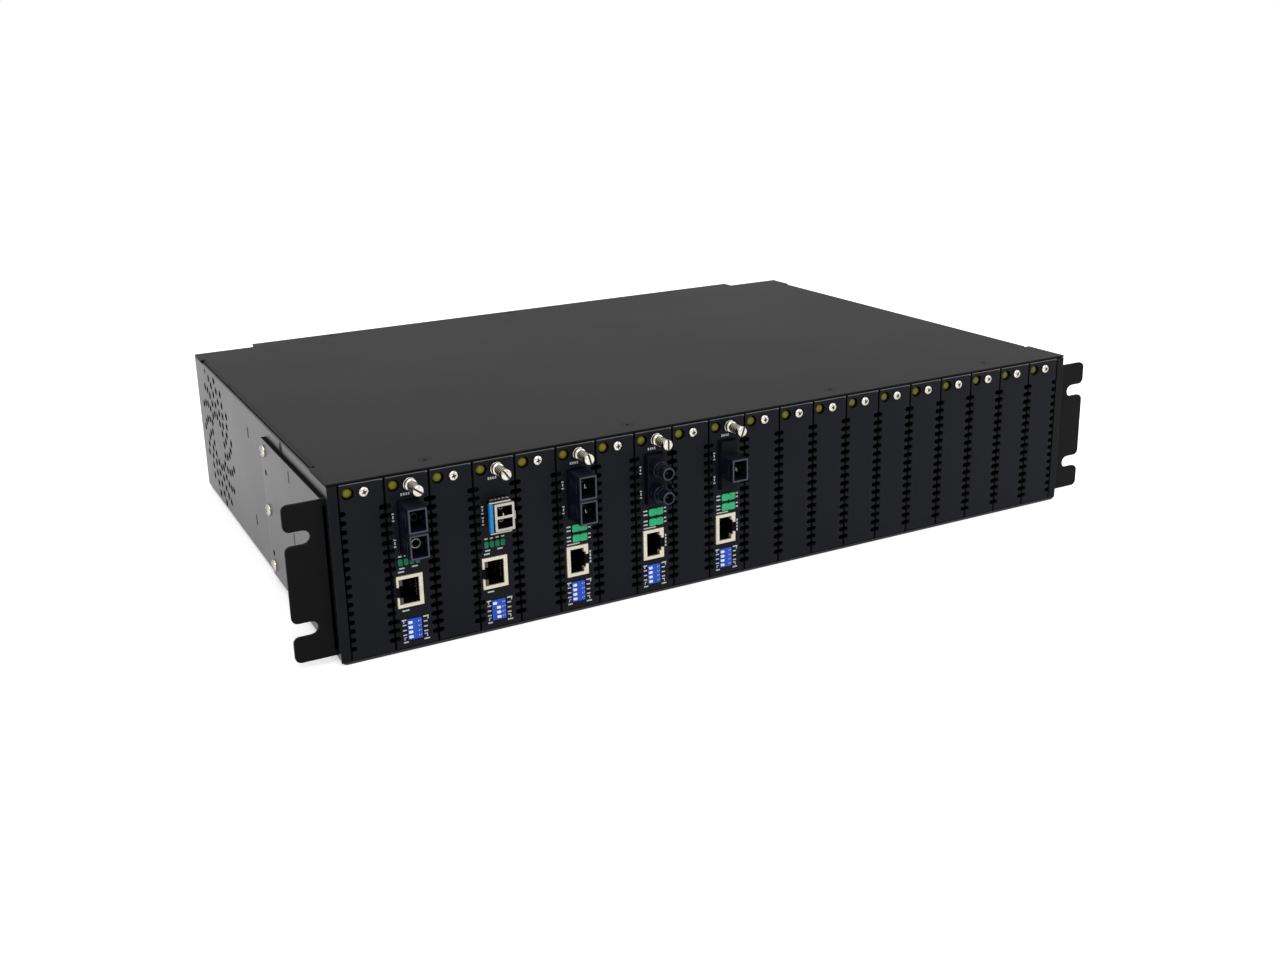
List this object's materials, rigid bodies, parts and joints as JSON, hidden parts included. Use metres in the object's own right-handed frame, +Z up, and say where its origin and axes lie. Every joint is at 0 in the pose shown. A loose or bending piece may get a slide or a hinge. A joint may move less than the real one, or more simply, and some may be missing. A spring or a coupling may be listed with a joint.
{
  "type": "media converter chassis",
  "caption": "Black two-unit rack chassis with fibre-to-copper converter modules in some of its front slots, blank plates in the rest, fan grilles, and rack ears.",
  "frame": {"origin": "centre of the body's underside", "axes": "+X to the right seen from the front, +Y to the back, +Z up"},
  "size_m": [0.4826, 0.3505, 0.0889],
  "materials": {
    "steel_black": "satin black powder coat",
    "ear_black": "matt black powder coat",
    "plate_black": "matt black paint",
    "nickel": "bright nickel plate",
    "black_screw": "black oxide",
    "amber_lens": "tinted clear lens",
    "board_green": "lacquered circuit board",
    "guide_plastic": "moulded",
    "socket_plastic": "moulded",
    "fan_plastic": "moulded",
    "port_plastic": "moulded, dark navy",
    "shield_metal": "tin plated spring steel",
    "switch_plastic": "moulded",
    "lever_plastic": "moulded",
    "cage_steel": "nickel silver sheet",
    "bail_blue": "blue coating",
    "supply_steel": "zinc plated sheet",
    "inlet_plastic": "moulded"
  },
  "bodies": {
    "chassis": {"chassis_tray": "steel_black", "top_cover": "steel_black", "left_rack_ear": "ear_black", "right_rack_ear": "ear_black", "ear_screws": "nickel", "cover_screws": "black_screw", "card_cage_plate": "steel_black", "inner_boards": "board_green", "slot_lights": "amber_lens", "card_guides": "guide_plastic", "backplane_sockets": "socket_plastic", "blank_panels": "plate_black", "blank_panel_screws": "nickel", "fan_frames": "fan_plastic"},
    "slot_2_module": {"slot_2_faceplate": "plate_black", "slot_2_circuit_board": "board_green", "slot_2_copper_socket": "shield_metal", "slot_2_switch_body": "switch_plastic", "slot_2_fibre_port": "port_plastic"},
    "slot_2_levers": {"slot_2_switch_levers": "lever_plastic"},
    "slot_2_screw": {"slot_2_thumbscrew": "nickel"},
    "slot_4_module": {"slot_4_faceplate": "plate_black", "slot_4_circuit_board": "board_green", "slot_4_copper_socket": "shield_metal", "slot_4_switch_body": "switch_plastic", "slot_4_transceiver_cage": "cage_steel"},
    "slot_4_levers": {"slot_4_switch_levers": "lever_plastic"},
    "slot_4_screw": {"slot_4_thumbscrew": "nickel"},
    "slot_4_upper_lever": {"slot_4_upper_lever": "lever_plastic"},
    "slot_4_transceiver": {"slot_4_transceiver": "cage_steel"},
    "slot_4_bail": {"slot_4_bail_latch": "bail_blue"},
    "slot_6_module": {"slot_6_faceplate": "plate_black", "slot_6_circuit_board": "board_green", "slot_6_copper_socket": "shield_metal", "slot_6_switch_body": "switch_plastic", "slot_6_fibre_port": "port_plastic"},
    "slot_6_levers": {"slot_6_switch_levers": "lever_plastic"},
    "slot_6_screw": {"slot_6_thumbscrew": "nickel"},
    "slot_8_module": {"slot_8_faceplate": "plate_black", "slot_8_circuit_board": "board_green", "slot_8_copper_socket": "shield_metal", "slot_8_switch_body": "switch_plastic", "slot_8_fibre_port": "port_plastic"},
    "slot_8_levers": {"slot_8_switch_levers": "lever_plastic"},
    "slot_8_screw": {"slot_8_thumbscrew": "nickel"},
    "slot_10_module": {"slot_10_faceplate": "plate_black", "slot_10_circuit_board": "board_green", "slot_10_copper_socket": "shield_metal", "slot_10_switch_body": "switch_plastic", "slot_10_fibre_port": "port_plastic"},
    "slot_10_levers": {"slot_10_switch_levers": "lever_plastic"},
    "slot_10_screw": {"slot_10_thumbscrew": "nickel"},
    "left_fan": {"left_fan_rotor": "fan_plastic"},
    "left_supply": {"left_supply_case": "supply_steel", "left_power_inlet": "inlet_plastic"},
    "left_rocker": {"left_power_rocker": "inlet_plastic"},
    "right_fan": {"right_fan_rotor": "fan_plastic"},
    "right_supply": {"right_supply_case": "supply_steel", "right_power_inlet": "inlet_plastic"},
    "right_rocker": {"right_power_rocker": "inlet_plastic"}
  },
  "joints": [
    {"name": "slot_2_module_slide", "type": "slide", "parent": "chassis", "child": "slot_2_module", "axis": [0, -1, 0], "range_m": [0, 0.13]},
    {"name": "slot_2_lever_slide", "type": "slide", "parent": "slot_2_module", "child": "slot_2_levers", "axis": [1, 0, 0], "range_m": [0, 0.0024]},
    {"name": "slot_2_screw_turn", "type": "hinge", "parent": "slot_2_module", "child": "slot_2_screw", "pos_m": [-0.1824, -0.15, 0.0827], "axis": [0, -1, 0], "continuous": true},
    {"name": "slot_4_module_slide", "type": "slide", "parent": "chassis", "child": "slot_4_module", "axis": [0, -1, 0], "range_m": [0, 0.13]},
    {"name": "slot_4_lever_slide", "type": "slide", "parent": "slot_4_module", "child": "slot_4_levers", "axis": [1, 0, 0], "range_m": [-0.0019, 0.0004]},
    {"name": "slot_4_screw_turn", "type": "hinge", "parent": "slot_4_module", "child": "slot_4_screw", "pos_m": [-0.1392, -0.15, 0.0827], "axis": [0, -1, 0], "continuous": true},
    {"name": "slot_4_upper_lever_slide", "type": "slide", "parent": "slot_4_module", "child": "slot_4_upper_lever", "axis": [1, 0, 0], "range_m": [0, 0.0024]},
    {"name": "slot_4_transceiver_slide", "type": "slide", "parent": "slot_4_module", "child": "slot_4_transceiver", "axis": [0, -1, 0], "range_m": [0, 0.045]},
    {"name": "slot_4_bail_turn", "type": "hinge", "parent": "slot_4_transceiver", "child": "slot_4_bail", "pos_m": [-0.1361, -0.1569, 0.06055], "axis": [0, 0, 1], "range_deg": [0, 90]},
    {"name": "slot_6_module_slide", "type": "slide", "parent": "chassis", "child": "slot_6_module", "axis": [0, -1, 0], "range_m": [0, 0.13]},
    {"name": "slot_6_lever_slide", "type": "slide", "parent": "slot_6_module", "child": "slot_6_levers", "axis": [1, 0, 0], "range_m": [0, 0.0024]},
    {"name": "slot_6_screw_turn", "type": "hinge", "parent": "slot_6_module", "child": "slot_6_screw", "pos_m": [-0.096, -0.15, 0.0827], "axis": [0, -1, 0], "continuous": true},
    {"name": "slot_8_module_slide", "type": "slide", "parent": "chassis", "child": "slot_8_module", "axis": [0, -1, 0], "range_m": [0, 0.13]},
    {"name": "slot_8_lever_slide", "type": "slide", "parent": "slot_8_module", "child": "slot_8_levers", "axis": [1, 0, 0], "range_m": [0, 0.0024]},
    {"name": "slot_8_screw_turn", "type": "hinge", "parent": "slot_8_module", "child": "slot_8_screw", "pos_m": [-0.0528, -0.15, 0.0827], "axis": [0, -1, 0], "continuous": true},
    {"name": "slot_10_module_slide", "type": "slide", "parent": "chassis", "child": "slot_10_module", "axis": [0, -1, 0], "range_m": [0, 0.13]},
    {"name": "slot_10_lever_slide", "type": "slide", "parent": "slot_10_module", "child": "slot_10_levers", "axis": [1, 0, 0], "range_m": [0, 0.0024]},
    {"name": "slot_10_screw_turn", "type": "hinge", "parent": "slot_10_module", "child": "slot_10_screw", "pos_m": [-0.0096, -0.15, 0.0827], "axis": [0, -1, 0], "continuous": true},
    {"name": "left_fan_turn", "type": "hinge", "parent": "chassis", "child": "left_fan", "pos_m": [-0.21, 0.0985, 0.044], "axis": [1, 0, 0], "continuous": true},
    {"name": "left_supply_slide", "type": "slide", "parent": "chassis", "child": "left_supply", "axis": [0, 1, 0], "range_m": [0, 0.12]},
    {"name": "left_rocker_turn", "type": "hinge", "parent": "left_supply", "child": "left_rocker", "pos_m": [-0.14817, 0.158, 0.0566], "axis": [-1, 0, 0], "range_deg": [0, 18]},
    {"name": "right_fan_turn", "type": "hinge", "parent": "chassis", "child": "right_fan", "pos_m": [0.21, 0.0985, 0.044], "axis": [1, 0, 0], "continuous": true},
    {"name": "right_supply_slide", "type": "slide", "parent": "chassis", "child": "right_supply", "axis": [0, 1, 0], "range_m": [0, 0.12]},
    {"name": "right_rocker_turn", "type": "hinge", "parent": "right_supply", "child": "right_rocker", "pos_m": [0.03323, 0.158, 0.0566], "axis": [-1, 0, 0], "range_deg": [0, 18]}
  ]
}
